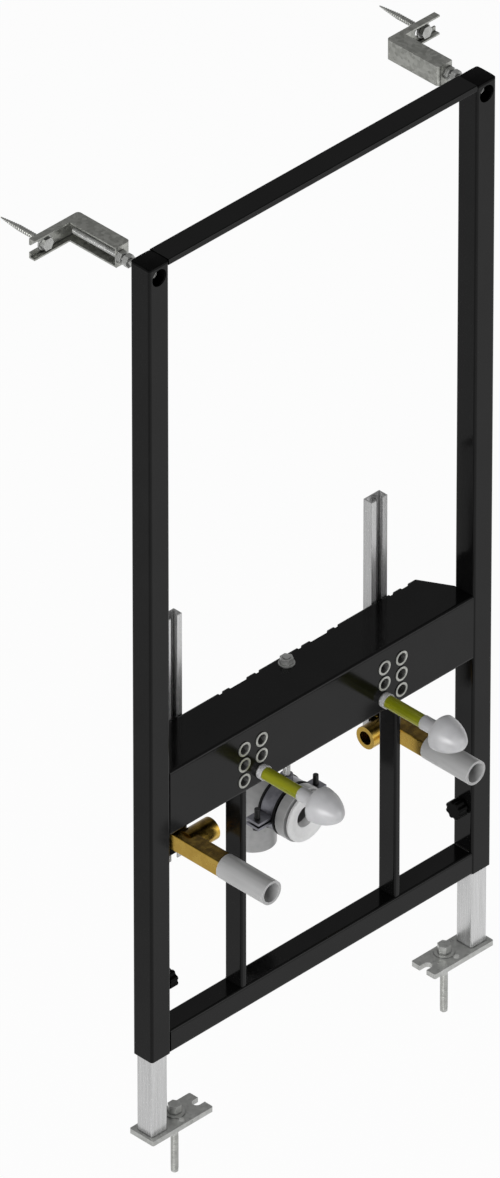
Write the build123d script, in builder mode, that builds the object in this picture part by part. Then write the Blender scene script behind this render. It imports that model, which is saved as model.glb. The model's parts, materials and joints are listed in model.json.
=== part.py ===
from build123d import *
import os

# The origin is on the underside of the left foot plate, under the axis of the left upright.
# +X runs to the right upright, +Y towards the wall and +Z up.

# Welded frame
frame_width = 500.0
frame_top = 1100.0
tube_side = 28.0
tube_wall = 2.0
tube_corner = 3.0
tube_inner = tube_side - 2 * tube_wall
tube_half = tube_side / 2
axis_pitch = frame_width - tube_side
mid_x = axis_pitch / 2
inner_span = axis_pitch - tube_side

# Telescopic legs and feet
leg_slide_gap = 0.5
leg_side = tube_inner - 2 * leg_slide_gap
leg_wall = 2.0
leg_corner = 2.5
leg_reveal = 98.0
leg_travel_out = 100.0
leg_overlap = 100.0
leg_length = leg_reveal + leg_travel_out + leg_overlap
foot_thick = 6.0
foot_depth = 35.0
foot_outer_reach = 16.0
foot_inner_reach = 72.0
foot_corner = 2.0
foot_slot_width = 10.0
foot_slot_depth = 12.0
foot_peg_hole_d = 7.5
foot_peg_x = 32.5
foot_peg_setback = 10.3
upright_bottom = foot_thick + leg_reveal

# Floor and wall screws
screw_d = 8.0
screw_hole_gap = 0.5
screw_af = 13.0
washer_thick = 1.6
floor_head_height = 9.5
floor_washer_d = 22.0
floor_screw_x = 36.5
floor_screw_y = 4.0
floor_screw_depth = 70.0
floor_shank_d = 5.0
floor_shank_end = 15.0
floor_plug_end = 20.0
floor_end_bevel = 1.2
wall_head_height = 5.5
wall_washer_gap = 1.0
wall_screw_d = 6.0
wall_screw_reach = 62.0
wall_tip_length = 26.0
wall_tip_r = 0.7
hex_sides = 6
hex_r = 1 / 3**0.5

# End caps of the uprights
cap_rise = 4.0
cap_dome_r = 200.0
cap_edge = 1.0
cap_plug_gap = 0.2
upright_top = frame_top - cap_rise

# Top and bottom bars
top_bar_height = 7.5
top_bar_wall = 2.0
top_bar_corner = 1.5
bottom_bar_top = upright_bottom + tube_side

# Mounting beam, folded from sheet
beam_sheet = 2.5
beam_bend = 3.5
beam_bottom = 380.8
beam_height = 80.0
beam_top = beam_bottom + beam_height
beam_depth = 67.0
beam_foot_depth = 28.0
beam_back_drop = 40.0
beam_end_setback = 22.0
back_notch_drop = 18.0
back_notch_depth = 4.5
wide_notch_width = 28.0
wide_notch_offset = 59.0
thin_notch_width = 8.0
thin_notch_offsets = (31.0, 84.5, 166.0)
end_notch_width = 13.0
end_notch_offset = 185.5

# Threaded bushes in the beam
bush_inner_reach = 90.0
bush_column_gap = 25.0
bush_columns = 2
bush_rows = 3
bush_row_gap = 20.0
bush_first_row = 16.0
bush_bore_d = 12.0
bush_flange_d = 17.0
bush_flange_thick = 1.0
bush_flange_step = 1.0
bush_body_d = bush_flange_d - 2 * bush_flange_step
bush_body_gap = 0.1
bush_body_length = 12.0
bush_column_middle = bush_inner_reach + bush_column_gap / 2
bush_row_middle = beam_bottom + bush_first_row + bush_row_gap * (bush_rows - 1) / 2

# Posts under the beam
post_offset = 113.0
post_width = 8.5
post_depth = 24.5
post_wall = 1.5
post_corner = 2.5

# C-rails behind the beam
rail_offset = 150.0
rail_width = 23.0
rail_depth = 12.0
rail_wall = 1.5
rail_slot = 9.0
rail_bottom = 280.0
rail_top = 587.0

# Water connections
water_height = 310.0
elbow_side = 20.0
elbow_edge = 1.5
elbow_front = 8.0
elbow_seat_thick = 3.0
elbow_seat_width = 30.0
elbow_seat_height = 38.0
elbow_seat_corner = 4.0
elbow_length = elbow_front + beam_depth - elbow_seat_thick
elbow_bore_d = 14.0
elbow_wall_behind = 6.0
branch_d = 26.0
branch_seat_gap = 1.0
branch_back = beam_depth - elbow_seat_thick - branch_seat_gap - branch_d / 2
branch_reach = 37.0
branch_bore_d = 16.0
branch_bore_depth = 24.0
pipe_d = 28.0
pipe_wall = 3.0
pipe_length = 67.0
pipe_floor = 16.0

# Fixing studs
stud_thread_gap = 0.1
stud_d = bush_bore_d - 2 * stud_thread_gap
stud_back = 24.0
stud_height = beam_bottom + bush_first_row
collar_d = 17.0
collar_length = 6.0
collar_bore_gap = 0.2
sleeve_d = 14.6
sleeve_bore_gap = 0.2
sleeve_front = 58.0
stud_neck_d = 16.0
stud_flange_d = 37.0
stud_flange_thick = 2.0
stud_nut_af = 18.0
stud_nut_length = 8.0
stud_cap_d = 40.0
stud_cap_back = 84.0
stud_cap_length = 33.0
stud_cap_nose_r = 12.0
stud_cap_nose_angle = 50.0
stud_cap_bore_d = 26.0
stud_cap_bore_depth = 13.0
stud_cap_front = stud_cap_back + stud_cap_length
stud_end_gap = 2.0
stud_front = stud_cap_back + stud_cap_bore_depth - stud_end_gap

# Drain elbow and its lined clamp, hung from the top of the beam
drain_height = 281.0
drain_d = 50.0
drain_wall = 2.5
drain_bend = 37.0
drain_leg_length = 69.0
clamp_setback = 14.0
clamp_back = beam_depth - clamp_setback
clamp_width = 18.0
clamp_lining_thick = 2.0
clamp_lip_width = 2.5
clamp_lip_rise = 1.0
clamp_fit_gap = 0.1
clamp_run_gap = 0.5
clamp_wall = 3.0
clamp_split = 3.0
clamp_lug_thick = 3.0
clamp_lug_end = 7.0
clamp_screw_d = 6.0
clamp_screw_hole_gap = 0.2
clamp_screw_af = 10.0
clamp_screw_head = 4.0
clamp_screw_top = 16.5
clamp_screw_clear = 12.9
clamp_boss_d = 14.0
clamp_boss_height = 12.0
lining_width = clamp_width + 2 * clamp_lip_width
lining_bore_r = drain_d / 2 + clamp_fit_gap
lining_r = lining_bore_r + clamp_lining_thick
clamp_r = lining_r + clamp_wall
clamp_screw_reach = clamp_r + clamp_screw_clear
clamp_lug_reach = clamp_screw_reach + clamp_lug_end
hanger_d = 8.0
hanger_gap = 0.2
hanger_nut_af = 13.0
hanger_nut_height = 6.5
hanger_flange_d = 18.0
hanger_flange_thick = 1.5
hanger_above_nut = 1.0

# Drain socket in front of the clamp, and its seal
socket_step = 6.0
socket_d = drain_d + 2 * socket_step
socket_wall = 3.0
socket_length = 14.0
socket_shoulder = 2.0
socket_rear = clamp_back - lining_width / 2 - clamp_run_gap
socket_front = socket_rear - socket_length
bend_front = clamp_back + lining_width / 2 + clamp_run_gap
drain_leg_back = bend_front + drain_bend
seal_inset = 2.0
seal_d = socket_d - 2 * seal_inset
seal_bore_d = 26.0
seal_funnel_d = 46.0
seal_funnel_depth = 3.0
seal_neck_d = 50.0
seal_wall = 2.5
seal_flange = 4.0
seal_edge = 0.8
seal_groove = 2.0
seal_plug_depth = 7.0
seal_plug_gap = 0.1
seal_plug_d = socket_d - 2 * socket_wall - 2 * seal_plug_gap
seal_front = socket_front - seal_flange - seal_groove

# Clamp knobs
knob_height = 187.0
knob_d = 22.0
knob_neck_d = 15.0
knob_neck_length = 4.0
knob_grip_length = 11.0
knob_edge = 0.8
knob_flutes = 8
knob_flute_r = 3.0
knob_flute_depth = 1.6
knob_lobe_r = 1.2
knob_screw_d = 8.0
knob_screw_gap = 0.2
knob_tip_gap = 0.3

# Wall brackets and spindles
spindle_drop = 12.0
spindle_height = upright_top - spindle_drop
access_hole_d = 20.0
spindle_d = 8.0
spindle_gap = 0.2
spindle_front = 8.0
spindle_collar_af = 13.0
spindle_collar_length = 5.0
cap_collar_gap = 0.5
cap_plug_length = spindle_drop - spindle_collar_af * hex_r - cap_collar_gap
bracket_sheet = 2.0
bracket_bend = 4.0
bracket_height = 24.0
bracket_front = 56.0
bracket_back = 131.0
bracket_arm_width = 20.0
bracket_wing_length = 70.0
bracket_wing_depth = 8.0
bracket_slot_width = screw_d + 2 * screw_hole_gap
bracket_slot_length = 30.0
bracket_nut_length = 6.0
bracket_nut_gap = 3.0
spindle_end_gap = 7.0
spindle_back = bracket_back - bracket_sheet - spindle_end_gap
wall_screw_inset = 19.0
wall_washer_d = bracket_height - 2 * bracket_sheet - 2 * wall_washer_gap

# Datum planes: the frame's front face, looked at from the front, and the plane of symmetry
front_plane = Plane.XZ.offset(tube_half)
mid_plane = Plane.YZ.offset(mid_x)
wall_y = bracket_back - tube_half
clamp_y = clamp_back - tube_half
drain_axis = Axis((mid_x, 0, drain_height), (0, 1, 0))


def both_sides(reach, height):
    """Returns the points at one reach to the left and right of the middle, as seen from the front."""
    return ((mid_x - reach, height), (mid_x + reach, height))


clamp_screw_places = both_sides(clamp_screw_reach, clamp_y)
stud_places = both_sides(bush_inner_reach, stud_height)

with BuildPart() as uprights:
    with BuildSketch(Plane.XY.offset(upright_bottom)):
        RectangleRounded(tube_side, tube_side, tube_corner)
        RectangleRounded(tube_inner, tube_inner, tube_corner - tube_wall, mode=Mode.SUBTRACT)
    extrude(amount=upright_top - upright_bottom)
    with BuildSketch(front_plane):
        with Locations((0, spindle_height)):
            Circle(access_hole_d / 2)
    extrude(amount=-tube_half, mode=Mode.SUBTRACT)
    with BuildSketch(front_plane.offset(-tube_side)):
        with Locations((0, spindle_height)):
            Circle(spindle_d / 2 + spindle_gap)
    extrude(amount=tube_half, mode=Mode.SUBTRACT)
    with BuildSketch(Plane.YZ.offset(tube_half)):
        with Locations((0, knob_height)):
            Circle(knob_screw_d / 2 + knob_screw_gap)
    extrude(amount=-tube_half, mode=Mode.SUBTRACT)
    mirror(about=mid_plane)

with BuildPart() as end_caps:
    with BuildSketch(Plane.XY.offset(upright_top)):
        RectangleRounded(tube_side, tube_side, tube_corner)
    extrude(amount=cap_rise)
    with Locations((0, 0, frame_top - cap_dome_r)):
        Sphere(cap_dome_r, mode=Mode.INTERSECT)
    chamfer(end_caps.faces().sort_by(Axis.Z)[-1].edges(), cap_edge)
    with BuildSketch(Plane.XY.offset(upright_top)):
        RectangleRounded(
            tube_inner - 2 * cap_plug_gap,
            tube_inner - 2 * cap_plug_gap,
            tube_corner - tube_wall,
        )
    extrude(amount=-cap_plug_length)
    mirror(about=mid_plane)

with BuildPart() as top_bar:
    with BuildSketch(Plane.YZ.offset(tube_half)):
        with Locations((0, frame_top - top_bar_height / 2)):
            RectangleRounded(tube_side, top_bar_height, top_bar_corner)
        with Locations((0, frame_top - top_bar_height / 2 - top_bar_wall)):
            Rectangle(tube_side - 2 * top_bar_wall, top_bar_height, mode=Mode.SUBTRACT)
    extrude(amount=inner_span)

with BuildPart() as bottom_bar:
    with BuildSketch(Plane.YZ.offset(tube_half)):
        with Locations((0, upright_bottom + tube_half)):
            RectangleRounded(tube_side, tube_side, tube_corner)
            RectangleRounded(tube_inner, tube_inner, tube_corner - tube_wall, mode=Mode.SUBTRACT)
    extrude(amount=inner_span)

with BuildPart() as mounting_beam:
    with BuildSketch(Plane.YZ.offset(tube_half)):
        with BuildLine():
            FilletPolyline(
                (beam_depth - tube_half, beam_top - beam_back_drop),
                (beam_depth - tube_half, beam_top),
                (-tube_half, beam_top),
                (-tube_half, beam_bottom),
                (beam_foot_depth - tube_half, beam_bottom),
                radius=beam_bend,
            )
            offset(amount=beam_sheet, side=Side.LEFT)
        make_face()
    extrude(amount=inner_span)
    with BuildSketch(Plane.XY.offset(beam_top)):
        with BuildLine():
            Polyline(
                (tube_half, beam_foot_depth - tube_half),
                (tube_half + beam_end_setback, beam_depth - tube_half),
                (tube_half, beam_depth - tube_half),
                close=True,
            )
        make_face()
        mirror(about=mid_plane)
    extrude(amount=-beam_back_drop, mode=Mode.SUBTRACT)
    with BuildSketch(front_plane.offset(-beam_depth)):
        with Locations(both_sides(wide_notch_offset, beam_top)):
            Rectangle(wide_notch_width, 2 * back_notch_drop)
        for thin_notch_offset in thin_notch_offsets:
            with Locations(both_sides(thin_notch_offset, beam_top)):
                Rectangle(thin_notch_width, 2 * back_notch_drop)
        with Locations(both_sides(end_notch_offset, beam_top)):
            Rectangle(end_notch_width, 2 * back_notch_drop)
    extrude(amount=back_notch_depth, mode=Mode.SUBTRACT)
    with BuildSketch(front_plane):
        with Locations(both_sides(bush_column_middle, bush_row_middle)):
            with GridLocations(bush_column_gap, bush_row_gap, bush_columns, bush_rows):
                Circle(bush_body_d / 2 + bush_body_gap)
    extrude(amount=-beam_sheet, mode=Mode.SUBTRACT)
    with BuildSketch(Plane.XY.offset(beam_top)):
        with Locations((mid_x, clamp_y)):
            Circle(hanger_d / 2 + hanger_gap)
    extrude(amount=-beam_sheet, mode=Mode.SUBTRACT)

with BuildPart() as bushes:
    with BuildSketch(front_plane):
        with Locations(both_sides(bush_column_middle, bush_row_middle)):
            with GridLocations(bush_column_gap, bush_row_gap, bush_columns, bush_rows):
                Circle(bush_flange_d / 2)
    extrude(amount=bush_flange_thick)
    with BuildSketch(front_plane):
        with Locations(both_sides(bush_column_middle, bush_row_middle)):
            with GridLocations(bush_column_gap, bush_row_gap, bush_columns, bush_rows):
                Circle(bush_body_d / 2)
    extrude(amount=-bush_body_length)
    with BuildSketch(front_plane.offset(bush_flange_thick)):
        with Locations(both_sides(bush_column_middle, bush_row_middle)):
            with GridLocations(bush_column_gap, bush_row_gap, bush_columns, bush_rows):
                Circle(bush_bore_d / 2)
    extrude(amount=-bush_flange_thick - bush_body_length, mode=Mode.SUBTRACT)

with BuildPart() as posts:
    with BuildSketch(Plane.XY.offset(bottom_bar_top)):
        with Locations(both_sides(post_offset, 0)):
            RectangleRounded(post_width, post_depth, post_corner)
            RectangleRounded(
                post_width - 2 * post_wall,
                post_depth - 2 * post_wall,
                post_corner - post_wall,
                mode=Mode.SUBTRACT,
            )
    extrude(amount=beam_bottom - bottom_bar_top)

with BuildPart() as rails:
    with BuildSketch(Plane.XY.offset(rail_bottom)):
        with Locations(both_sides(rail_offset, beam_depth - tube_half)):
            Rectangle(rail_width, rail_depth, align=(Align.CENTER, Align.MIN))
            Rectangle(rail_slot, rail_depth / 2, align=(Align.CENTER, Align.MIN), mode=Mode.SUBTRACT)
            with Locations((0, rail_wall)):
                Rectangle(
                    rail_width - 2 * rail_wall,
                    rail_depth - 2 * rail_wall,
                    align=(Align.CENTER, Align.MIN),
                    mode=Mode.SUBTRACT,
                )
    extrude(amount=rail_top - rail_bottom)

with BuildPart() as water_elbows:
    with BuildSketch(front_plane.offset(elbow_front)):
        with Locations((mid_x - rail_offset, water_height)):
            RectangleRounded(elbow_side, elbow_side, elbow_edge)
    extrude(amount=-elbow_length)
    with BuildSketch(Plane.YZ.offset(mid_x - rail_offset)):
        with Locations((branch_back - tube_half, water_height)):
            Circle(branch_d / 2)
    extrude(amount=branch_reach)
    with BuildSketch(Plane.YZ.offset(mid_x - rail_offset + branch_reach)):
        with Locations((branch_back - tube_half, water_height)):
            Circle(branch_bore_d / 2)
    extrude(amount=-branch_bore_depth, mode=Mode.SUBTRACT)
    with BuildSketch(Plane.YZ.offset(mid_x - rail_offset)):
        with Locations((branch_back - tube_half, water_height)):
            Circle(elbow_bore_d / 2)
    extrude(amount=branch_reach, mode=Mode.SUBTRACT)
    with BuildSketch(front_plane.offset(elbow_front)):
        with Locations((mid_x - rail_offset, water_height)):
            Circle(elbow_bore_d / 2)
    extrude(amount=elbow_wall_behind - elbow_length, mode=Mode.SUBTRACT)
    mirror(about=mid_plane)

with BuildPart() as elbow_seats:
    with BuildSketch(front_plane.offset(-beam_depth)):
        with Locations(both_sides(rail_offset, water_height)):
            RectangleRounded(elbow_seat_width, elbow_seat_height, elbow_seat_corner)
    extrude(amount=elbow_seat_thick)

with BuildPart() as water_pipes:
    with BuildSketch(front_plane.offset(elbow_front)):
        with Locations(both_sides(rail_offset, water_height)):
            Circle(pipe_d / 2)
            Circle(elbow_bore_d / 2, mode=Mode.SUBTRACT)
    extrude(amount=pipe_length)
    with BuildSketch(front_plane.offset(elbow_front + pipe_length)):
        with Locations(both_sides(rail_offset, water_height)):
            Circle(pipe_d / 2 - pipe_wall)
    extrude(amount=pipe_floor - pipe_length, mode=Mode.SUBTRACT)

with BuildPart() as studs:
    with BuildSketch(front_plane.offset(-stud_back)):
        with Locations(stud_places):
            Circle(stud_d / 2)
    extrude(amount=stud_back + stud_front)

with BuildPart() as stud_collars:
    with BuildSketch(front_plane.offset(bush_flange_thick)):
        with Locations(stud_places):
            Circle(collar_d / 2)
            Circle(stud_d / 2 + collar_bore_gap, mode=Mode.SUBTRACT)
    extrude(amount=collar_length)

with BuildPart() as stud_sleeves:
    with BuildSketch(front_plane.offset(bush_flange_thick + collar_length)):
        with Locations(stud_places):
            Circle(sleeve_d / 2)
            Circle(stud_d / 2 + sleeve_bore_gap, mode=Mode.SUBTRACT)
    extrude(amount=sleeve_front - bush_flange_thick - collar_length)

with BuildPart() as stud_flanges:
    with BuildSketch(front_plane.offset(sleeve_front)):
        with Locations(stud_places):
            Circle(stud_neck_d / 2)
            Circle(stud_d / 2 + collar_bore_gap, mode=Mode.SUBTRACT)
    extrude(amount=stud_cap_back - sleeve_front)
    with BuildSketch(front_plane.offset(stud_cap_back - stud_flange_thick)):
        with Locations(stud_places):
            Circle(stud_flange_d / 2)
            Circle(stud_d / 2 + collar_bore_gap, mode=Mode.SUBTRACT)
    extrude(amount=stud_flange_thick)

with BuildPart() as stud_nuts:
    with BuildSketch(front_plane.offset(stud_cap_back)):
        with Locations(stud_places):
            RegularPolygon(stud_nut_af * hex_r, hex_sides)
            Circle(stud_d / 2 + collar_bore_gap, mode=Mode.SUBTRACT)
    extrude(amount=stud_nut_length)

with BuildPart() as stud_caps:
    with BuildSketch(Plane.YZ.offset(mid_x - bush_inner_reach)):
        with BuildLine():
            nose = CenterArc(
                (stud_cap_nose_r - stud_cap_front - tube_half, stud_height),
                stud_cap_nose_r,
                180 - stud_cap_nose_angle,
                stud_cap_nose_angle,
            )
            flank = TangentArc(
                nose @ 0,
                (-tube_half - stud_cap_back, stud_height + stud_cap_d / 2),
                tangent=-(nose % 0),
            )
            Polyline(flank @ 1, (-tube_half - stud_cap_back, stud_height), nose @ 1)
        make_face()
    revolve(axis=Axis((mid_x - bush_inner_reach, 0, stud_height), (0, 1, 0)))
    with BuildSketch(front_plane.offset(stud_cap_back)):
        with Locations((mid_x - bush_inner_reach, stud_height)):
            Circle(stud_cap_bore_d / 2)
    extrude(amount=stud_cap_bore_depth, mode=Mode.SUBTRACT)
    mirror(about=mid_plane)

with BuildPart() as level_elbow:
    with BuildSketch(mid_plane):
        with BuildLine():
            Polyline(
                (socket_front - tube_half, socket_d / 2),
                (socket_rear - socket_shoulder - tube_half, socket_d / 2),
                (socket_rear - tube_half, drain_d / 2),
                (bend_front - tube_half, drain_d / 2),
                (bend_front - tube_half, drain_d / 2 - drain_wall),
                (socket_front + seal_plug_depth - tube_half, drain_d / 2 - drain_wall),
                (socket_front + seal_plug_depth - tube_half, socket_d / 2 - socket_wall),
                (socket_front - tube_half, socket_d / 2 - socket_wall),
                close=True,
            )
        make_face()
    revolve(axis=Axis((mid_x, 0, 0), (0, 1, 0)))
    with BuildSketch(front_plane.offset(-bend_front)):
        with Locations((mid_x, 0)):
            Circle(drain_d / 2)
            Circle(drain_d / 2 - drain_wall, mode=Mode.SUBTRACT)
    revolve(
        axis=Axis((mid_x, bend_front - tube_half, -drain_bend), (-1, 0, 0)),
        revolution_arc=90,
    )
    with BuildSketch(Plane.XY.offset(-drain_bend)):
        with Locations((mid_x, drain_leg_back - tube_half)):
            Circle(drain_d / 2)
            Circle(drain_d / 2 - drain_wall, mode=Mode.SUBTRACT)
    extrude(amount=drain_bend - drain_leg_length)

with BuildPart() as drain_elbow:
    with Locations((0, 0, drain_height)):
        add(level_elbow.part)

seal_front_y = seal_front - tube_half
seal_rear_y = socket_front + seal_plug_depth - tube_half
seal_neck_y = socket_front - tube_half
seal_web_y = seal_neck_y + seal_wall

with BuildPart() as drain_seal:
    with BuildSketch(mid_plane) as seal_profile:
        with BuildLine():
            Polyline(
                (seal_front_y, drain_height + seal_d / 2),
                (seal_front_y, drain_height + seal_funnel_d / 2),
                (seal_front_y + seal_funnel_depth, drain_height + seal_bore_d / 2),
                (seal_rear_y, drain_height + seal_bore_d / 2),
                (seal_rear_y, drain_height + seal_bore_d / 2 + seal_wall),
                (seal_web_y, drain_height + seal_bore_d / 2 + seal_wall),
                (seal_web_y, drain_height + seal_plug_d / 2 - seal_wall),
                (seal_rear_y, drain_height + seal_plug_d / 2 - seal_wall),
                (seal_rear_y, drain_height + seal_plug_d / 2),
                (seal_neck_y, drain_height + seal_plug_d / 2),
                (seal_neck_y, drain_height + seal_neck_d / 2),
                (seal_front_y + seal_flange, drain_height + seal_neck_d / 2),
                (seal_front_y + seal_flange, drain_height + seal_d / 2),
                close=True,
            )
        make_face()
        chamfer(seal_profile.vertices().group_by(Axis.Y)[-1], seal_edge)
    revolve(axis=drain_axis)

with BuildPart() as clamp_lining:
    with BuildSketch(mid_plane):
        with Locations((clamp_y, drain_height + lining_bore_r)):
            Rectangle(
                lining_width,
                clamp_r + clamp_lip_rise - lining_bore_r,
                align=(Align.CENTER, Align.MIN),
            )
        with Locations((clamp_y, drain_height + lining_r)):
            Rectangle(
                clamp_width,
                clamp_wall + clamp_lip_rise,
                align=(Align.CENTER, Align.MIN),
                mode=Mode.SUBTRACT,
            )
    revolve(axis=drain_axis)

clamp_plane = front_plane.offset(-clamp_back - clamp_width / 2)

with BuildPart() as clamp_upper:
    with BuildSketch(clamp_plane):
        with Locations((mid_x, drain_height)):
            Circle(clamp_r)
            Rectangle(2 * clamp_lug_reach, 2 * clamp_lug_thick + clamp_split)
            Circle(lining_r, mode=Mode.SUBTRACT)
            Rectangle(
                2 * clamp_lug_reach,
                2 * clamp_r,
                align=(Align.CENTER, Align.MAX),
                mode=Mode.SUBTRACT,
            )
        with Locations((mid_x, drain_height)):
            Rectangle(2 * clamp_lug_reach, clamp_split, mode=Mode.SUBTRACT)
    extrude(amount=clamp_width)
    with BuildSketch(Plane.XY.offset(drain_height + clamp_r + clamp_boss_height - clamp_wall)):
        with Locations((mid_x, clamp_y)):
            Circle(clamp_boss_d / 2)
            Circle(hanger_d / 2 + hanger_gap, mode=Mode.SUBTRACT)
    extrude(amount=-clamp_boss_height)
    with BuildSketch(Plane.XY.offset(drain_height)):
        with Locations(clamp_screw_places):
            Circle(clamp_screw_d / 2 + clamp_screw_hole_gap)
    extrude(amount=clamp_screw_top, mode=Mode.SUBTRACT)
    with BuildSketch(clamp_plane):
        with Locations((mid_x, drain_height)):
            Circle(lining_r)
    extrude(amount=clamp_width, mode=Mode.SUBTRACT)

with BuildPart() as clamp_lower:
    with BuildSketch(clamp_plane):
        with Locations((mid_x, drain_height)):
            Circle(clamp_r)
            Rectangle(2 * clamp_lug_reach, 2 * clamp_lug_thick + clamp_split)
            Circle(lining_r, mode=Mode.SUBTRACT)
            Rectangle(
                2 * clamp_lug_reach,
                2 * clamp_r,
                align=(Align.CENTER, Align.MIN),
                mode=Mode.SUBTRACT,
            )
        with Locations((mid_x, drain_height)):
            Rectangle(2 * clamp_lug_reach, clamp_split, mode=Mode.SUBTRACT)
    extrude(amount=clamp_width)
    with BuildSketch(Plane.XY.offset(drain_height)):
        with Locations(clamp_screw_places):
            Circle(clamp_screw_d / 2 + clamp_screw_hole_gap)
    extrude(amount=-clamp_screw_top, mode=Mode.SUBTRACT)

clamp_under = drain_height - clamp_split / 2 - clamp_lug_thick

with BuildPart() as clamp_screws:
    with BuildSketch(Plane.XY.offset(clamp_under)):
        with Locations(clamp_screw_places):
            RegularPolygon(clamp_screw_af * hex_r, hex_sides)
    extrude(amount=-clamp_screw_head)
    with BuildSketch(Plane.XY.offset(clamp_under)):
        with Locations(clamp_screw_places):
            Circle(clamp_screw_d / 2)
    extrude(amount=drain_height + clamp_screw_top - clamp_under)

hanger_foot = drain_height + clamp_r
hanger_head = beam_top + hanger_flange_thick + hanger_nut_height + hanger_above_nut

with BuildPart() as hanger_rod:
    with BuildSketch(Plane.XY.offset(hanger_foot)):
        with Locations((mid_x, clamp_y)):
            Circle(hanger_d / 2)
    extrude(amount=hanger_head - hanger_foot)

with BuildPart() as hanger_nuts:
    with BuildSketch(Plane.XY.offset(beam_top)):
        with Locations((mid_x, clamp_y)):
            Circle(hanger_flange_d / 2)
    extrude(amount=hanger_flange_thick)
    with BuildSketch(Plane.XY.offset(beam_top + hanger_flange_thick)):
        with Locations((mid_x, clamp_y)):
            RegularPolygon(hanger_nut_af * hex_r, hex_sides)
    extrude(amount=hanger_nut_height)
    with BuildSketch(Plane.XY.offset(beam_top - beam_sheet)):
        with Locations((mid_x, clamp_y)):
            RegularPolygon(hanger_nut_af * hex_r, hex_sides)
    extrude(amount=-hanger_nut_height)
    with BuildSketch(Plane.XY.offset(hanger_foot)):
        with Locations((mid_x, clamp_y)):
            Circle(hanger_d / 2 + hanger_gap)
    extrude(amount=hanger_head - hanger_foot, mode=Mode.SUBTRACT)

with BuildPart() as clamp_knobs:
    with BuildSketch(Plane.YZ.offset(tube_half)):
        with Locations((0, knob_height)):
            Circle(knob_neck_d / 2)
    extrude(amount=knob_neck_length)
    with BuildSketch(Plane.YZ.offset(tube_half + knob_neck_length)) as knob_grip:
        with Locations((0, knob_height)):
            Circle(knob_d / 2)
            with PolarLocations(knob_d / 2 + knob_flute_r - knob_flute_depth, knob_flutes):
                Circle(knob_flute_r, mode=Mode.SUBTRACT)
        fillet(knob_grip.vertices(), knob_lobe_r)
    extrude(amount=knob_grip_length)
    chamfer(clamp_knobs.faces().sort_by(Axis.X)[-1].edges(), knob_edge)
    with BuildSketch(Plane.YZ.offset(tube_half)):
        with Locations((0, knob_height)):
            Circle(knob_screw_d / 2)
    extrude(amount=leg_side / 2 + knob_tip_gap - tube_half)
    mirror(about=mid_plane)

with BuildPart() as spindles:
    with BuildSketch(front_plane.offset(-spindle_front)):
        with Locations(both_sides(mid_x, spindle_height)):
            Circle(spindle_d / 2)
    extrude(amount=spindle_front - spindle_back)
    with BuildSketch(front_plane.offset(tube_wall - tube_side)):
        with Locations(both_sides(mid_x, spindle_height)):
            RegularPolygon(spindle_collar_af * hex_r, hex_sides)
    extrude(amount=spindle_collar_length)

with BuildPart() as left_leg:
    with BuildSketch(Plane.XY.offset(foot_thick)):
        RectangleRounded(leg_side, leg_side, leg_corner)
        RectangleRounded(
            leg_side - 2 * leg_wall,
            leg_side - 2 * leg_wall,
            leg_corner - leg_wall,
            mode=Mode.SUBTRACT,
        )
    extrude(amount=leg_length)

with BuildPart() as left_foot_plate:
    with BuildSketch(Plane.XY):
        with Locations((-foot_outer_reach, 0)):
            RectangleRounded(
                foot_outer_reach + foot_inner_reach,
                foot_depth,
                foot_corner,
                align=(Align.MIN, Align.CENTER),
            )
        with Locations((floor_screw_x, floor_screw_y)):
            Circle(screw_d / 2 + screw_hole_gap, mode=Mode.SUBTRACT)
        with Locations((foot_peg_x, -foot_peg_setback)):
            Circle(foot_peg_hole_d / 2, mode=Mode.SUBTRACT)
        with Locations((foot_inner_reach, 0)):
            SlotOverall(2 * foot_slot_depth, foot_slot_width, mode=Mode.SUBTRACT)
    extrude(amount=foot_thick)

with BuildPart() as left_floor_screw:
    with BuildSketch(Plane.XZ.offset(-floor_screw_y)):
        with BuildLine():
            Polyline(
                (floor_screw_x, foot_thick + washer_thick),
                (floor_screw_x + floor_washer_d / 2, foot_thick + washer_thick),
                (floor_screw_x + floor_washer_d / 2, foot_thick),
                (floor_screw_x + floor_shank_d / 2, foot_thick),
                (floor_screw_x + floor_shank_d / 2, -floor_shank_end),
                (floor_screw_x + screw_d / 2, -floor_plug_end),
                (floor_screw_x + screw_d / 2, floor_end_bevel - floor_screw_depth),
                (floor_screw_x + screw_d / 2 - floor_end_bevel, -floor_screw_depth),
                (floor_screw_x, -floor_screw_depth),
                close=True,
            )
        make_face()
    revolve(axis=Axis((floor_screw_x, floor_screw_y, 0), (0, 0, 1)))
    with BuildSketch(Plane.XY.offset(foot_thick + washer_thick)):
        with Locations((floor_screw_x, floor_screw_y)):
            RegularPolygon(screw_af * hex_r, hex_sides)
    extrude(amount=floor_head_height)

bracket_inner_x = tube_half
bracket_outer_x = tube_half - bracket_arm_width
wing_outer_x = tube_half - bracket_wing_length
bracket_front_y = bracket_front - tube_half
wing_front_y = wall_y - bracket_wing_depth
pocket_inner_x = bracket_inner_x - bracket_sheet
pocket_front_y = bracket_front_y + bracket_sheet
pocket_back_y = wall_y - bracket_sheet

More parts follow.
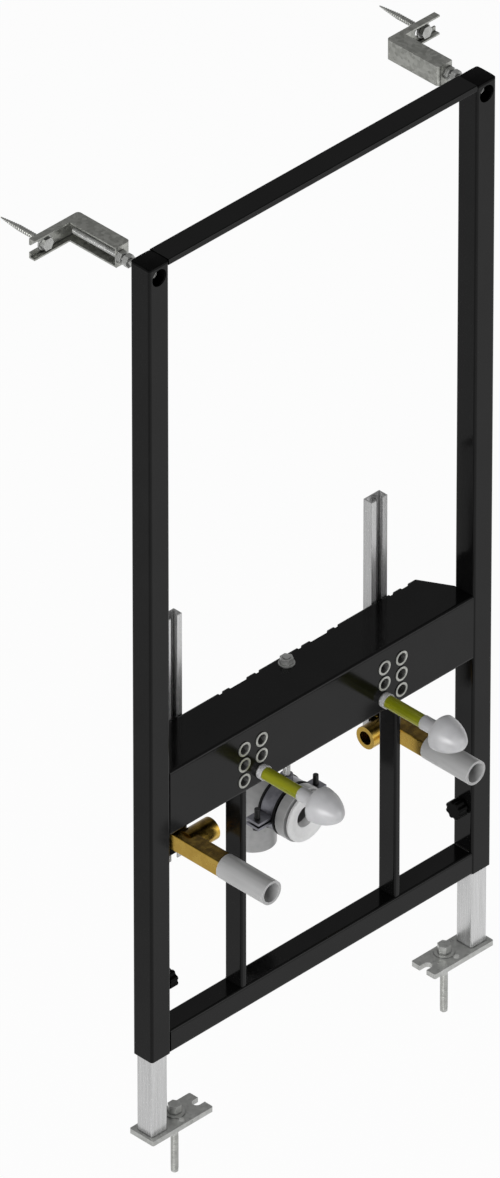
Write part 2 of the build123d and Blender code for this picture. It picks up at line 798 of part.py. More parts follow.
with BuildPart() as left_wall_bracket:
    with BuildSketch(Plane.XY.offset(spindle_height - bracket_height / 2)) as bracket_outline:
        with BuildLine():
            Polyline(
                (bracket_inner_x, bracket_front_y),
                (bracket_inner_x, wall_y),
                (wing_outer_x, wall_y),
                (wing_outer_x, wing_front_y),
                (bracket_outer_x, wing_front_y),
                (bracket_outer_x, bracket_front_y),
                close=True,
            )
        make_face()
        fillet(bracket_outline.vertices().group_by(Axis.X)[-1], bracket_bend)
    extrude(amount=bracket_height)
    with BuildSketch(Plane.XY.offset(spindle_height - bracket_height / 2 + bracket_sheet)) as bracket_pocket:
        with BuildLine():
            Polyline(
                (pocket_inner_x, pocket_front_y),
                (pocket_inner_x, pocket_back_y),
                (wing_outer_x, pocket_back_y),
                (wing_outer_x, wing_front_y),
                (bracket_outer_x, wing_front_y),
                (bracket_outer_x, pocket_front_y),
                close=True,
            )
        make_face()
        fillet(bracket_pocket.vertices().group_by(Axis.X)[-1], bracket_bend - bracket_sheet)
    extrude(amount=bracket_height - 2 * bracket_sheet, mode=Mode.SUBTRACT)
    with BuildSketch(front_plane.offset(-bracket_front)):
        with Locations((0, spindle_height)):
            Circle(spindle_d / 2 + spindle_gap)
    extrude(amount=-bracket_sheet, mode=Mode.SUBTRACT)
    with BuildSketch(front_plane.offset(-bracket_back)):
        with Locations((wing_outer_x, spindle_height)):
            SlotOverall(2 * bracket_slot_length, bracket_slot_width)
    extrude(amount=bracket_sheet, mode=Mode.SUBTRACT)

bracket_nut_front = bracket_front - 2 * bracket_nut_length - bracket_nut_gap

with BuildPart() as left_bracket_nuts:
    with BuildSketch(front_plane.offset(-bracket_front)):
        with Locations((0, spindle_height)):
            RegularPolygon(screw_af * hex_r, hex_sides)
            Circle(spindle_d / 2 + spindle_gap, mode=Mode.SUBTRACT)
    extrude(amount=bracket_nut_length)
    with BuildSketch(front_plane.offset(-bracket_nut_front)):
        with Locations((0, spindle_height)):
            RegularPolygon(screw_af * hex_r, hex_sides)
            Circle(spindle_d / 2 + spindle_gap, mode=Mode.SUBTRACT)
    extrude(amount=-bracket_nut_length)

wall_screw_x = wing_outer_x + wall_screw_inset
web_front = front_plane.offset(bracket_sheet - bracket_back)

with BuildPart() as left_wall_screw:
    with BuildSketch(web_front):
        with Locations((wall_screw_x, spindle_height)):
            Circle(wall_washer_d / 2)
    extrude(amount=washer_thick)
    with BuildSketch(web_front.offset(washer_thick)):
        with Locations((wall_screw_x, spindle_height)):
            RegularPolygon(screw_af * hex_r, hex_sides)
    extrude(amount=wall_head_height)
    with BuildSketch(web_front):
        with Locations((wall_screw_x, spindle_height)):
            Circle(wall_screw_d / 2)
    extrude(amount=wall_tip_length - wall_screw_reach)
    with BuildSketch(web_front.offset(wall_tip_length - wall_screw_reach)) as wall_tip_root:
        with Locations((wall_screw_x, spindle_height)):
            Circle(wall_screw_d / 2)
    with BuildSketch(web_front.offset(-wall_screw_reach)) as wall_tip_end:
        with Locations((wall_screw_x, spindle_height)):
            Circle(wall_tip_r)
    loft([wall_tip_root.sketch, wall_tip_end.sketch])

with BuildPart() as right_leg:
    mirror(left_leg.part, about=mid_plane)

with BuildPart() as right_foot_plate:
    mirror(left_foot_plate.part, about=mid_plane)

with BuildPart() as right_floor_screw:
    mirror(left_floor_screw.part, about=mid_plane)

with BuildPart() as right_wall_bracket:
    mirror(left_wall_bracket.part, about=mid_plane)

with BuildPart() as right_bracket_nuts:
    mirror(left_bracket_nuts.part, about=mid_plane)

with BuildPart() as right_wall_screw:
    mirror(left_wall_screw.part, about=mid_plane)

uprights.part.label = "uprights"
end_caps.part.label = "end_caps"
top_bar.part.label = "top_bar"
bottom_bar.part.label = "bottom_bar"
mounting_beam.part.label = "mounting_beam"
bushes.part.label = "bushes"
posts.part.label = "posts"
rails.part.label = "rails"
water_elbows.part.label = "water_elbows"
elbow_seats.part.label = "elbow_seats"
water_pipes.part.label = "water_pipes"
studs.part.label = "studs"
stud_collars.part.label = "stud_collars"
stud_sleeves.part.label = "stud_sleeves"
stud_flanges.part.label = "stud_flanges"
stud_nuts.part.label = "stud_nuts"
stud_caps.part.label = "stud_caps"
drain_elbow.part.label = "drain_elbow"
drain_seal.part.label = "drain_seal"
clamp_lining.part.label = "clamp_lining"
clamp_upper.part.label = "clamp_upper"
clamp_lower.part.label = "clamp_lower"
clamp_screws.part.label = "clamp_screws"
hanger_rod.part.label = "hanger_rod"
hanger_nuts.part.label = "hanger_nuts"
clamp_knobs.part.label = "clamp_knobs"
spindles.part.label = "spindles"
left_leg.part.label = "left_leg"
left_foot_plate.part.label = "left_foot_plate"
left_floor_screw.part.label = "left_floor_screw"
left_wall_bracket.part.label = "left_wall_bracket"
left_bracket_nuts.part.label = "left_bracket_nuts"
left_wall_screw.part.label = "left_wall_screw"
right_leg.part.label = "right_leg"
right_foot_plate.part.label = "right_foot_plate"
right_floor_screw.part.label = "right_floor_screw"
right_wall_bracket.part.label = "right_wall_bracket"
right_bracket_nuts.part.label = "right_bracket_nuts"
right_wall_screw.part.label = "right_wall_screw"

os.makedirs("parts", exist_ok=True)
export_step(uprights.part, "parts/uprights.step")
export_step(end_caps.part, "parts/end_caps.step")
export_step(top_bar.part, "parts/top_bar.step")
export_step(bottom_bar.part, "parts/bottom_bar.step")
export_step(mounting_beam.part, "parts/mounting_beam.step")
export_step(bushes.part, "parts/bushes.step")
export_step(posts.part, "parts/posts.step")
export_step(rails.part, "parts/rails.step")
export_step(water_elbows.part, "parts/water_elbows.step")
export_step(elbow_seats.part, "parts/elbow_seats.step")
export_step(water_pipes.part, "parts/water_pipes.step")
export_step(studs.part, "parts/studs.step")
export_step(stud_collars.part, "parts/stud_collars.step")
export_step(stud_sleeves.part, "parts/stud_sleeves.step")
export_step(stud_flanges.part, "parts/stud_flanges.step")
export_step(stud_nuts.part, "parts/stud_nuts.step")
export_step(stud_caps.part, "parts/stud_caps.step")
export_step(drain_elbow.part, "parts/drain_elbow.step")
export_step(drain_seal.part, "parts/drain_seal.step")
export_step(clamp_lining.part, "parts/clamp_lining.step")
export_step(clamp_upper.part, "parts/clamp_upper.step")
export_step(clamp_lower.part, "parts/clamp_lower.step")
export_step(clamp_screws.part, "parts/clamp_screws.step")
export_step(hanger_rod.part, "parts/hanger_rod.step")
export_step(hanger_nuts.part, "parts/hanger_nuts.step")
export_step(clamp_knobs.part, "parts/clamp_knobs.step")
export_step(spindles.part, "parts/spindles.step")
export_step(left_leg.part, "parts/left_leg.step")
export_step(left_foot_plate.part, "parts/left_foot_plate.step")
export_step(left_floor_screw.part, "parts/left_floor_screw.step")
export_step(left_wall_bracket.part, "parts/left_wall_bracket.step")
export_step(left_bracket_nuts.part, "parts/left_bracket_nuts.step")
export_step(left_wall_screw.part, "parts/left_wall_screw.step")
export_step(right_leg.part, "parts/right_leg.step")
export_step(right_foot_plate.part, "parts/right_foot_plate.step")
export_step(right_floor_screw.part, "parts/right_floor_screw.step")
export_step(right_wall_bracket.part, "parts/right_wall_bracket.step")
export_step(right_bracket_nuts.part, "parts/right_bracket_nuts.step")
export_step(right_wall_screw.part, "parts/right_wall_screw.step")
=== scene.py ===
"""Looks of a bidet installation frame: finishes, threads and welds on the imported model, in a pale studio."""
import json
import math

import bmesh
import bpy
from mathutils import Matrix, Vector


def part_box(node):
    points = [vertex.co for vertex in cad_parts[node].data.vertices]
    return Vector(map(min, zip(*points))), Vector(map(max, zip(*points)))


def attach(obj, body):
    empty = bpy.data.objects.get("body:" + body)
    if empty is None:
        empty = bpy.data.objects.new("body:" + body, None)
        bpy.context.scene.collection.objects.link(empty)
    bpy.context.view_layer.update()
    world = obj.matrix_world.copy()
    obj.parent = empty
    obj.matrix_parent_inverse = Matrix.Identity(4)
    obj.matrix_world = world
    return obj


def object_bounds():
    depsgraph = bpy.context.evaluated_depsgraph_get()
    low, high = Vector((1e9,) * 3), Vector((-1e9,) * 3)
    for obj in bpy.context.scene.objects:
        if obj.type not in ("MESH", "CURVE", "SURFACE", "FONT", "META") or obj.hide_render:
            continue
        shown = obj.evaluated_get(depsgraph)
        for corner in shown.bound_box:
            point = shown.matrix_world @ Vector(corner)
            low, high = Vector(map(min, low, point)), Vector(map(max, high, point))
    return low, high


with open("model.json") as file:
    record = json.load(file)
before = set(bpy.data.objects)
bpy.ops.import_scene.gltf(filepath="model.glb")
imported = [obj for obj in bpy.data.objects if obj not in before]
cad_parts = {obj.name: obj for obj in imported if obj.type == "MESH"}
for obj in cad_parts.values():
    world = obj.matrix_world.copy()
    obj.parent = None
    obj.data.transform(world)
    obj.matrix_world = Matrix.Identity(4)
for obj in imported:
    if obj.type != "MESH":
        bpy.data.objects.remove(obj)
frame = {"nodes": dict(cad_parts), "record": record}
cad_low, cad_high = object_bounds()
nodes = frame["nodes"]
scene = bpy.context.scene
MM = 0.001


# Shader helpers

WHITE = (1.0, 1.0, 1.0, 1.0)
EVEN = (1.0, 1.0, 1.0)
MIX_SOCKETS = {"FLOAT": (2, 3, 0), "RGBA": (6, 7, 2)}  # both inputs and the result, by what is mixed
# patch sizes for edge wear and painted highlight, for painted top shade and for zinc crystals; below, how far
# the recess dirt and painted shade reach
WEAR_AND_HIGHLIGHT_PATCH, TOP_SHADE_PATCH, CRYSTAL = 6 * MM, 8 * MM, 4 * MM
RECESS_REACH = 3 * MM
RELIEF_DEPTH = 0.2 * MM


def add_node(tree, kind, inputs=None, **settings):
    """Adds a node, sets its properties and fills its inputs with values or links."""
    node = tree.nodes.new(kind)
    for name, value in settings.items():
        setattr(node, name, value)
    for name, value in (inputs or {}).items():
        if isinstance(value, bpy.types.NodeSocket):
            tree.links.new(value, node.inputs[name])
        else:
            node.inputs[name].default_value = value
    return node


def math_node(tree, operation, first, second):
    """Works out a number from two others, each a value or a link."""
    return add_node(tree, "ShaderNodeMath", {0: first, 1: second}, operation=operation).outputs["Value"]


def grey(value):
    """A colour with the same value in all three channels."""
    return (value, value, value)


def ramp(tree, factor, stops):
    """Adds a colour ramp with (position, colour) stops."""
    node = add_node(tree, "ShaderNodeValToRGB", {"Fac": factor})
    elements = node.color_ramp.elements
    while len(elements) < len(stops):
        elements.new(1.0)
    for element, (position, colour) in zip(elements, stops):
        element.position = position
        element.color = (*colour, 1.0)
    return node.outputs["Color"]


def spread(tree, value, source, target):
    """Maps a value from a source range to a target range."""
    inputs = {"Value": value, "From Min": source[0], "From Max": source[1]}
    inputs |= {"To Min": target[0], "To Max": target[1]}
    return add_node(tree, "ShaderNodeMapRange", inputs).outputs["Result"]


def mix(tree, kind, factor, first, second):
    """Mixes two numbers or two colours, each a value or a link."""
    first_socket, second_socket, result = MIX_SOCKETS[kind]
    inputs = {"Factor": factor, first_socket: first, second_socket: second}
    return add_node(tree, "ShaderNodeMix", inputs, data_type=kind).outputs[result]


def tint(tree, factor, first, second):
    """Mixes two colours, each a value or a link."""
    return mix(tree, "RGBA", factor, first, second)


def mix_shaders(tree, share, first, second):
    """Mixes two shaders, with the given share of the second."""
    return add_node(tree, "ShaderNodeMixShader", {0: share, 1: first, 2: second}).outputs["Shader"]


def scaled(tree, place, size, stretch):
    """Scales object coordinates so that a feature of the texture is about size metres across."""
    scale = tuple(1.0 / (size * share) for share in stretch)
    return add_node(tree, "ShaderNodeMapping", {"Vector": place, "Scale": scale}).outputs["Vector"]


def noise(tree, place, size, stretch=EVEN):
    """Adds soft noise with features about size metres across."""
    inputs = {"Vector": scaled(tree, place, size, stretch), "Scale": 1.0, "Detail": 3.0}
    return add_node(tree, "ShaderNodeTexNoise", inputs).outputs["Fac"]


def crystals(tree, place):
    """Adds zinc crystals, each with its own shade."""
    inputs = {"Vector": scaled(tree, place, CRYSTAL, EVEN), "Scale": 1.0}
    cells = add_node(tree, "ShaderNodeTexVoronoi", inputs)
    return add_node(tree, "ShaderNodeSeparateColor", {"Color": cells.outputs["Color"]}).outputs["Red"]


def edge_wear_and_highlight_mask(tree, place, width):
    """Finds the edges of a piece, broken up by noise as wear breaks them up; the tone laid there is wear and,
    where it is paler than the finish, a painted highlight.
    """
    rounded = add_node(tree, "ShaderNodeBevel", {"Radius": width}, samples=6).outputs["Normal"]
    plain = add_node(tree, "ShaderNodeNewGeometry").outputs["Normal"]
    turn = add_node(tree, "ShaderNodeVectorMath", {0: rounded, 1: plain}, operation="DOT_PRODUCT")
    edge = spread(tree, turn.outputs["Value"], source=(0.995, 0.8), target=(0.0, 1.0))
    breaks = spread(tree, noise(tree, place, WEAR_AND_HIGHLIGHT_PATCH), source=(0.35, 0.65), target=(0.35, 1.0))
    return math_node(tree, "MULTIPLY", edge, breaks)


def recess_dirt_and_shade_mask(tree):
    """Finds inside corners and bores, where dirt stays and where a painted shade darkens them."""
    inputs = {"Distance": RECESS_REACH}
    open_share = add_node(tree, "ShaderNodeAmbientOcclusion", inputs, samples=12).outputs["AO"]
    return spread(tree, open_share, source=(0.85, 0.35), target=(0.0, 0.9))


def painted_top_shade_mask(tree, place, share):
    """Finds the faces that look up, in patches, where a painted shade darkens the tops."""
    normal = add_node(tree, "ShaderNodeTexCoord").outputs["Normal"]
    up = add_node(tree, "ShaderNodeSeparateXYZ", {"Vector": normal}).outputs["Z"]
    settled = spread(tree, up, source=(0.3, 0.9), target=(0.0, share))
    patches = spread(tree, noise(tree, place, TOP_SHADE_PATCH), source=(0.3, 0.6), target=(0.7, 1.0))
    return math_node(tree, "MULTIPLY", settled, patches)


# Finishes, by the record's material slots

def surface(
    name, tones, worn, grime, patch, rough, grain, relief,
    spangle=0.0, settled=0.0, stretch=EVEN, edge=0.7 * MM, **sockets
):
    """Makes a finish: patches of two tones and two roughnesses, edges in a tone of wear and painted highlight,
    dirt and painted shade in the recesses and a fine grain in relief. The share of zinc crystals is spangle;
    the next argument is the share of painted shade on top faces, and stretch draws patches and grain out.
    Sockets of the shader have underscores for spaces."""
    material = bpy.data.materials.new(name)
    material.use_nodes = True
    tree = material.node_tree
    shader = tree.nodes["Principled BSDF"]
    place = add_node(tree, "ShaderNodeTexCoord").outputs["Object"]
    patches = noise(tree, place, patch, stretch)
    if spangle:
        patches = mix(tree, "FLOAT", spangle, patches, crystals(tree, place))
    colour = ramp(tree, patches, ((0.3, tones[0]), (0.7, tones[1])))
    # edges take a tone that is partly wear and partly painted highlight
    colour = tint(tree, edge_wear_and_highlight_mask(tree, place, edge), colour, (*worn, 1.0))
    # recesses take a darker tone: dirt, and painted shade
    colour = tint(tree, recess_dirt_and_shade_mask(tree), colour, (*grime, 1.0))
    # faces that look up take painted shade in the same dark tone
    if settled:
        colour = tint(tree, painted_top_shade_mask(tree, place, settled), colour, (*grime, 1.0))
    tree.links.new(colour, shader.inputs["Base Color"])
    roughness = spread(tree, patches, source=(0.25, 0.75), target=rough)
    tree.links.new(roughness, shader.inputs["Roughness"])
    heights = {"Height": noise(tree, place, grain, stretch), "Strength": relief, "Distance": RELIEF_DEPTH}
    tree.links.new(add_node(tree, "ShaderNodeBump", heights).outputs["Normal"], shader.inputs["Normal"])
    for socket, value in sockets.items():
        shader.inputs[socket.replace("_", " ")].default_value = value
    return material


ALONG_Y = (1.0, 10.0, 1.0)
ALONG_Z = (1.0, 1.0, 40.0)
# In each look, the dark recess tone is dirt and painted shade, and the edge tone is wear and, where paler,
# painted highlight. Brass also takes painted shade on its top faces.
looks = {
    "black_paint": dict(
        tones=(grey(0.0025), grey(0.004)), worn=grey(0.02), grime=grey(0.0015),
        patch=45 * MM, rough=(0.1, 0.17), grain=2.2 * MM, relief=0.04,
        edge=0.5 * MM, Specular_IOR_Level=0.155,
    ),
    "black_plastic": dict(
        tones=(grey(0.0012), grey(0.0026)), worn=grey(0.008), grime=grey(0.0008),
        patch=6 * MM, rough=(0.26, 0.36), grain=0.8 * MM, relief=0.1,
        Specular_IOR_Level=0.04,
    ),
    "black_steel": dict(
        tones=(grey(0.006), grey(0.014)), worn=grey(0.05), grime=grey(0.002),
        patch=5 * MM, rough=(0.3, 0.45), grain=0.8 * MM, relief=0.08,
        Specular_IOR_Level=0.3,
    ),
    "clamp_steel": dict(
        tones=((0.2, 0.2, 0.225), (0.3, 0.3, 0.33)), worn=(0.42, 0.42, 0.46), grime=grey(0.02),
        patch=7 * MM, rough=(0.3, 0.42), grain=1.5 * MM, relief=0.05,
        spangle=0.2, Metallic=1.0,
    ),
    "black_rubber": dict(
        tones=(grey(0.004), grey(0.009)), worn=grey(0.02), grime=grey(0.002),
        patch=4 * MM, rough=(0.55, 0.7), grain=0.6 * MM, relief=0.2,
        Specular_IOR_Level=0.25,
    ),
    "zinc_steel": dict(
        tones=((0.4, 0.405, 0.39), (0.52, 0.525, 0.51)), worn=grey(0.66), grime=grey(0.07),
        patch=9 * MM, rough=(0.26, 0.4), grain=1.4 * MM, relief=0.05,
        spangle=0.3, Metallic=0.75,
    ),
    "bright_zinc": dict(
        tones=(grey(0.55), grey(0.66)), worn=grey(0.26), grime=grey(0.07),
        patch=1.5 * MM, rough=(0.22, 0.32), grain=1.2 * MM, relief=0.03,
        stretch=ALONG_Z, edge=1.1 * MM, Metallic=0.75,
    ),
    "dark_zinc": dict(
        tones=((0.3, 0.305, 0.28), (0.46, 0.465, 0.435)), worn=grey(0.22), grime=grey(0.03),
        patch=6 * MM, rough=(0.28, 0.42), grain=1.4 * MM, relief=0.06,
        spangle=0.4, stretch=ALONG_Y, Metallic=0.75,
    ),
    "brass": dict(
        tones=((0.54, 0.34, 0.06), (0.66, 0.44, 0.09)), worn=(0.85, 0.62, 0.22), grime=(0.04, 0.02, 0.004),
        patch=12 * MM, rough=(0.2, 0.34), grain=2.5 * MM, relief=0.05,
        # painted shade on the brass's top faces
        settled=0.85, Metallic=1.0,
    ),
    "grey_plastic": dict(
        tones=(grey(0.36), grey(0.42)), worn=grey(0.64), grime=grey(0.12),
        patch=6 * MM, rough=(0.26, 0.36), grain=1.2 * MM, relief=0.03,
        stretch=ALONG_Y, edge=1.2 * MM, Specular_IOR_Level=0.7,
    ),
    "pale_plastic": dict(
        tones=((0.46, 0.46, 0.47), (0.53, 0.53, 0.54)), worn=grey(0.78), grime=grey(0.25),
        patch=14 * MM, rough=(0.28, 0.4), grain=1.2 * MM, relief=0.03, edge=1.2 * MM,
        Subsurface_Weight=0.8, Subsurface_Radius=grey(1.0), Subsurface_Scale=9 * MM,
        Coat_Weight=0.2, Coat_Roughness=0.2,
    ),
    "green_plastic": dict(
        tones=((0.2, 0.23, 0.004), (0.33, 0.34, 0.014)), worn=(0.6, 0.6, 0.2), grime=(0.08, 0.09, 0.002),
        patch=7 * MM, rough=(0.2, 0.34), grain=1.2 * MM, relief=0.05,
        stretch=ALONG_Y, Transmission_Weight=0.25, IOR=1.45,
    ),
    "white_rubber": dict(
        tones=(grey(0.76), grey(0.84)), worn=grey(0.9), grime=grey(0.2),
        patch=8 * MM, rough=(0.45, 0.6), grain=0.8 * MM, relief=0.08,
    ),
}
finishes = {slot: surface(slot, **look) for slot, look in looks.items()}
for subpart in frame["record"]["subparts"]:
    node = nodes[subpart["node"]]
    node.data.materials.clear()
    node.data.materials.append(finishes[subpart["material_slot"]])


# Small pieces

STEPS_PER_TURN = 20
RIDGE_SINK, RIDGE_HALF_WIDTH = 0.15, 0.42  # shares of the ridge's height and of the pitch
THREAD_END, WELD_END = 0.05, 0.02  # what is left of a ridge's fade and a bead's taper at the ends
WELD_STEP, WELD_TAPER, WELD_RIPPLE = 0.5 * MM, 2 * MM, 2.4 * MM
WELD_SINK, RIPPLE_DEPTH = 0.35, 0.1  # shares of the bead's size
WELD_SIDES = 8


def add_piece(name, meshes, body, slot):
    """Joins (vertices, faces) meshes into one piece that rides on a body and takes a slot's finish."""
    vertices, faces = [], []
    for part_vertices, part_faces in meshes:
        shift = len(vertices)
        vertices += part_vertices
        faces += [tuple(i + shift for i in face) for face in part_faces]
    mesh = bpy.data.meshes.new(name)
    mesh.from_pydata(vertices, [], faces)
    shell = bmesh.new()
    shell.from_mesh(mesh)
    bmesh.ops.recalc_face_normals(shell, faces=shell.faces)
    shell.to_mesh(mesh)
    shell.free()
    mesh.materials.append(finishes[slot])
    piece = bpy.data.objects.new(name, mesh)
    scene.collection.objects.link(piece)
    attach(piece, body)


def sweep(rows):
    """Joins rows of points, each a closed cross-section, into a closed shell."""
    width = len(rows[0])
    last = width * (len(rows) - 1)
    faces = [tuple(range(width)), tuple(range(last, last + width))]
    for i in range(0, last, width):
        for j in range(width):
            k = (j + 1) % width
            faces.append((i + j, i + k, i + k + width, i + j + width))
    return [tuple(point) for row in rows for point in row], faces


def thread(start, end, radius, pitch, height, taper=0.0, tip_radius=0.0):
    """Makes a helical ridge round the line from start to end, or inside a bore if height is negative.
    The ridge fades in over the first turn and out over the last, and follows a tip that narrows to
    tip_radius over the last taper metres."""
    start, end = Vector(start), Vector(end)
    axis = (end - start).normalized()
    side = axis.orthogonal().normalized()
    other = axis.cross(side)
    turns = (end - start).length / pitch
    count = round(turns * STEPS_PER_TURN)
    base = radius - RIDGE_SINK * height
    rows = []
    for i in range(count + 1):
        turn = turns * i / count
        fade = max(THREAD_END, min(1.0, turn, turns - turn))
        out = side * math.cos(2 * math.pi * turn) + other * math.sin(2 * math.pi * turn)
        narrow = min(1.0, pitch * (turns - turn) / taper) if taper else 1.0
        foot = start + axis * (pitch * turn) + out * (base - (radius - tip_radius) * (1.0 - narrow))
        half = axis * (RIDGE_HALF_WIDTH * pitch * fade)
        crest = out * ((1.0 + RIDGE_SINK) * height * fade)
        rows.append((foot - half, foot + crest, foot + half))
    return sweep(rows)


def weld(start, end, outward, width=2.2 * MM):
    """Makes a rippled weld bead along the inside corner from start to end, bulging outward."""
    start, end = Vector(start), Vector(end)
    outward = Vector(outward).normalized()
    along = (end - start).normalized()
    across = along.cross(outward)
    length = (end - start).length
    count = round(length / WELD_STEP)
    angles = [math.pi * (step / WELD_SIDES - 0.5) for step in range(WELD_SIDES + 1)]
    rows = []
    for i in range(count + 1):
        travel = length * i / count
        taper = max(WELD_END, min(1.0, travel / WELD_TAPER, (length - travel) / WELD_TAPER))
        ripple = 1.0 + RIPPLE_DEPTH * math.sin(2 * math.pi * travel / WELD_RIPPLE)
        size = width * math.sqrt(taper) * ripple
        centre = start + along * travel - outward * (WELD_SINK * size)
        rows.append([centre + (across * math.sin(a) + outward * math.cos(a)) * size for a in angles])
    return sweep(rows)


# Places, read from the frame

low = {name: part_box(name)[0] for name in nodes}
high = {name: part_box(name)[1] for name in nodes}
middle = {name: (low[name] + high[name]) / 2 for name in nodes}
middle_x = middle["uprights"].x
tube = high["uprights"].y - low["uprights"].y


def mirrored(x):
    """The same place on the left and right halves of the frame."""
    return (x, 2 * middle_x - x)


# Threads

COARSE, MEDIUM, FINE, LAG = 1.75 * MM, 1.25 * MM, 1.0 * MM, 3.0 * MM  # pitches
RIDGE, BORE_RIDGE, FLOOR_RIDGE, WALL_RIDGE = 0.15 * MM, -0.5 * MM, 0.3 * MM, 0.5 * MM  # heights
spindle_r, floor_screw_r, wall_screw_r, clamp_screw_r = 4 * MM, 4 * MM, 3 * MM, 3 * MM
bush_r, bush_bore_r = 8.5 * MM, 6 * MM
lug = 4.5 * MM  # from the clamp's parting plane to the top of its upper lug
shank_end_z = -20 * MM  # where a floor screw's thread begins
floor_tip_gap, wall_tip_gap = 2 * MM, 1 * MM  # from a thread's end to the tip of its screw
wall_tip, wall_tip_r = 26 * MM, 0.7 * MM

stud_r = (high["studs"].z - low["studs"].z) / 2
stud_x = low["studs"].x + stud_r
stud_z = middle["studs"].z
add_piece("stud_threads", [
    thread((x, high["bushes"].y, stud_z), (x, high["studs"].y, stud_z), stud_r, COARSE, RIDGE)
    for x in mirrored(stud_x)
], "frame", "zinc_steel")

outer_x = low["bushes"].x + bush_r
free_bushes = [(outer_x, low["bushes"].z + bush_r)]
free_bushes += [(x, z) for x in (outer_x, stud_x) for z in (middle["bushes"].z, high["bushes"].z - bush_r)]
# Internal threads in the free bushes, finished dark as painted shade inside the bores
add_piece("bush_threads_painted_shade", [
    thread((x, low["bushes"].y, z), (x, high["bushes"].y, z), bush_bore_r, COARSE, BORE_RIDGE)
    for left_x, z in free_bushes
    for x in mirrored(left_x)
], "frame", "black_steel")

spindle_z = middle["spindles"].z
add_piece("spindle_threads", [
    thread((x, high["uprights"].y, spindle_z), (x, high["spindles"].y, spindle_z), spindle_r, MEDIUM, RIDGE)
    for x in mirrored(low["uprights"].x + tube / 2)
], "frame", "zinc_steel")

rod = middle["hanger_rod"]
rod_foot, rod_head = high["clamp_upper"].z, low["hanger_nuts"].z
add_piece("hanger_thread", [
    thread((rod.x, rod.y, rod_foot), (rod.x, rod.y, rod_head), spindle_r, MEDIUM, RIDGE)
], "frame", "zinc_steel")

clamp_y = middle["clamp_screws"].y
clamp_head_r = (high["clamp_screws"].y - low["clamp_screws"].y) / math.sqrt(3)
lug_top, screw_top = middle["clamp_lining"].z + lug, high["clamp_screws"].z
add_piece("clamp_screw_threads", [
    thread((x, clamp_y, lug_top), (x, clamp_y, screw_top), clamp_screw_r, FINE, RIDGE)
    for x in mirrored(low["clamp_screws"].x + clamp_head_r)
], "frame", "black_steel")

for side in ("left", "right"):
    screw = middle[f"{side}_floor_screw"]
    tip_z = low[f"{side}_floor_screw"].z + floor_tip_gap
    add_piece(f"{side}_floor_thread", [
        thread((screw.x, screw.y, shank_end_z), (screw.x, screw.y, tip_z), floor_screw_r, LAG, FLOOR_RIDGE)
    ], f"{side}_leg", "dark_zinc")
    screw = middle[f"{side}_wall_screw"]
    root_y = high[f"{side}_wall_bracket"].y
    tip_y = high[f"{side}_wall_screw"].y - wall_tip_gap
    add_piece(f"{side}_wall_thread", [
        thread(
            (screw.x, root_y, screw.z), (screw.x, tip_y, screw.z), wall_screw_r, LAG, WALL_RIDGE,
            taper=wall_tip, tip_radius=wall_tip_r,
        )
    ], f"{side}_bracket", "dark_zinc")


# Welds

tube_gap = 4 * MM  # from a bead's end to the side of the tube
groove, groove_depth = 1.6 * MM, 1 * MM  # a bead's size beside the top bar, and how far in it lies
bar_edge, bar_gap = 1.8 * MM, 1 * MM  # from a bead to the top bar's side and top
post_half, post_reach = 4.25 * MM, 3 * MM  # half widths of a post and of its bead

inner_x = low["uprights"].x + tube
weld_reach = tube / 2 - tube_gap
seams = [(low[bar].z, -1) for bar in ("bottom_bar", "mounting_beam", "top_bar")]
seams.append((high["bottom_bar"].z, 1))
add_piece("frame_welds", [
    weld((x, -weld_reach, z), (x, weld_reach, z), (math.copysign(1, middle_x - x), 0, up))
    for x in mirrored(inner_x)
    for z, up in seams
], "frame", "black_paint")

bar_low, bar_high = low["top_bar"].z, high["top_bar"].z - bar_gap
add_piece("top_bar_welds", [
    weld((x, y, bar_low), (x, y, bar_high), (math.copysign(1, middle_x - x), math.copysign(1, y), 0), groove)
    for x in mirrored(inner_x - groove_depth)
    for y in (low["top_bar"].y + bar_edge, high["top_bar"].y - bar_edge)
], "frame", "black_paint")

post_back = high["posts"].y
add_piece("post_welds", [
    weld((x - post_reach, post_back, z), (x + post_reach, post_back, z), (0, 1, up))
    for x in mirrored(low["posts"].x + post_half)
    for z, up in ((low["posts"].z, 1), (high["posts"].z, -1))
], "frame", "black_paint")


# Studio

FLOOR_GAP, FLOOR_REACH = 15 * MM, 40.0
FLOOR_GLOW = 0.96  # the rest of what the camera sees of the floor takes shadow
LIT_HEIGHT = 0.5


def straight_view(tree, path):
    """Finds, from a light path's outputs, what the camera sees straight or through a clear piece."""
    return math_node(tree, "MAXIMUM", path["Is Camera Ray"], path["Is Transmission Ray"])


def add_floor():
    """Adds a wide floor just under the part."""
    mesh = bpy.data.meshes.new("floor")
    height, reach = cad_low.z - FLOOR_GAP, FLOOR_REACH
    corners = ((-reach, -reach), (reach, -reach), (reach, reach), (-reach, reach))
    mesh.from_pydata([(x, y, height) for x, y in corners], [], [(0, 1, 2, 3)])
    floor = bpy.data.objects.new("floor", mesh)
    scene.collection.objects.link(floor)
    mesh.materials.append(floor_finish())


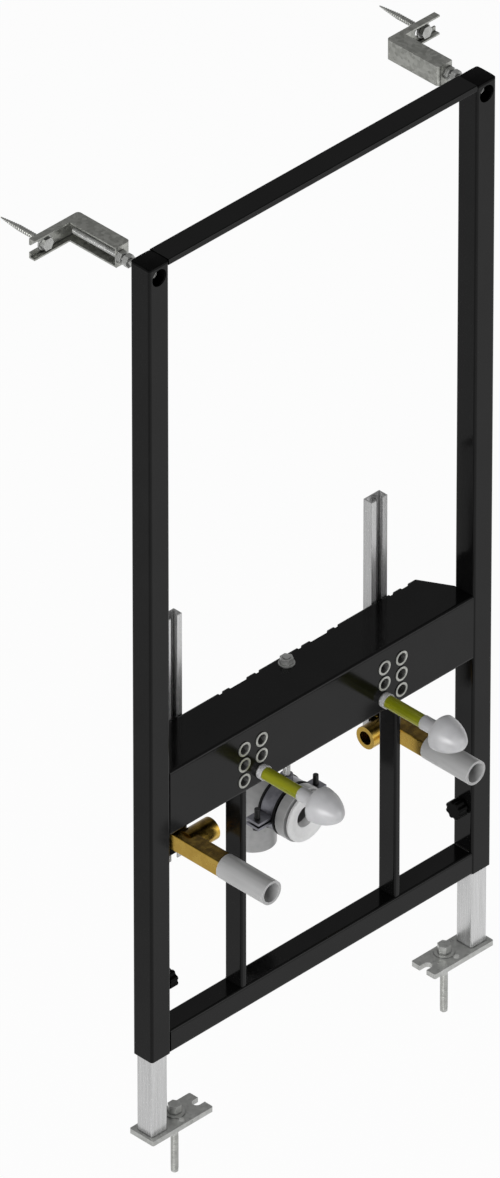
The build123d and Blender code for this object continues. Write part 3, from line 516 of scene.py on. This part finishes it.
def floor_finish():
    """White to the camera, white to grey in reflections from right to left, with a faint shadow."""
    material = bpy.data.materials.new("floor")
    material.use_nodes = True
    tree = material.node_tree
    tree.nodes.clear()
    path = add_node(tree, "ShaderNodeLightPath").outputs
    point = add_node(tree, "ShaderNodeNewGeometry").outputs["Position"]
    axes = add_node(tree, "ShaderNodeSeparateXYZ", {"Vector": point}).outputs
    slant = math_node(tree, "SUBTRACT", axes["X"], axes["Y"])
    rightward = spread(tree, slant, source=(-0.8, 0.8), target=(0.0, 1.0))
    reflected = ramp(tree, rightward, ((0.0, grey(0.58)), (1.0, grey(1.0))))
    direct = straight_view(tree, path)
    shown = tint(tree, direct, reflected, WHITE)
    glow = add_node(tree, "ShaderNodeEmission", {"Color": shown}).outputs["Emission"]
    matt = add_node(tree, "ShaderNodeBsdfDiffuse", {"Color": (*grey(0.82), 1.0)}).outputs["BSDF"]
    seen = math_node(tree, "MAXIMUM", direct, path["Is Glossy Ray"])
    share = math_node(tree, "MULTIPLY", seen, FLOOR_GLOW)
    add_node(tree, "ShaderNodeOutputMaterial", {"Surface": mix_shaders(tree, share, matt, glow)})
    return material


def add_dome():
    """Adds a soft grey dome, pale at the horizon, that the camera sees as white."""
    world = bpy.data.worlds.new("studio")
    scene.world = world
    world.use_nodes = True
    tree = world.node_tree
    tree.nodes.clear()
    path = add_node(tree, "ShaderNodeLightPath").outputs
    sight = add_node(tree, "ShaderNodeTexCoord").outputs["Generated"]
    height = add_node(tree, "ShaderNodeSeparateXYZ", {"Vector": sight}).outputs["Z"]
    shades = ((0.0, grey(0.75)), (0.3, grey(0.42)), (0.6, grey(0.3)), (1.0, grey(0.26)))
    soft = add_node(tree, "ShaderNodeBackground", {"Color": ramp(tree, height, shades)}).outputs["Background"]
    white = add_node(tree, "ShaderNodeBackground", {"Color": WHITE}).outputs["Background"]
    direct = straight_view(tree, path)
    add_node(tree, "ShaderNodeOutputWorld", {"Surface": mix_shaders(tree, direct, soft, white)})


def add_lamp(name, place, size, level):
    """Adds a soft square lamp that lights a white surface facing it at the frame's middle to level."""
    lamp = bpy.data.lights.new(name, "AREA")
    lamp.shape = "SQUARE"
    lamp.size = size
    away = Vector(place) - Vector((middle_x, 0.0, LIT_HEIGHT))
    lamp.energy = level * math.pi ** 2 * away.length_squared
    holder = bpy.data.objects.new(name, lamp)
    holder.location = place
    holder.rotation_mode = "QUATERNION"
    holder.rotation_quaternion = away.to_track_quat("Z", "Y")
    scene.collection.objects.link(holder)


add_floor()
add_dome()
add_lamp("key", place=(-3.2, -1.2, 0.8), size=2.0, level=0.75)
add_lamp("fill", place=(1.6, -3.2, 1.2), size=2.2, level=0.22)


# Camera: a long lens on the photograph's near-isometric line of sight

azimuth, elevation, distance = math.radians(-44.97), math.radians(35.21), 23.52
aim = Vector((0.1435, 0.0, 0.6205))
level_x, level_y = math.sin(azimuth) * math.cos(elevation), -math.cos(azimuth) * math.cos(elevation)
sight = Vector((level_x, level_y, math.sin(elevation)))
lens = bpy.data.cameras.new("camera")
lens.lens = 700.0
lens.sensor_width = 36.0
lens.clip_start = 1.0
lens.clip_end = 100.0
camera = bpy.data.objects.new("camera", lens)
camera.location = aim + sight * distance
camera.rotation_mode = "QUATERNION"
camera.rotation_quaternion = sight.to_track_quat("Z", "Y")
scene.collection.objects.link(camera)
scene.camera = camera
scene.view_settings.view_transform = "Standard"
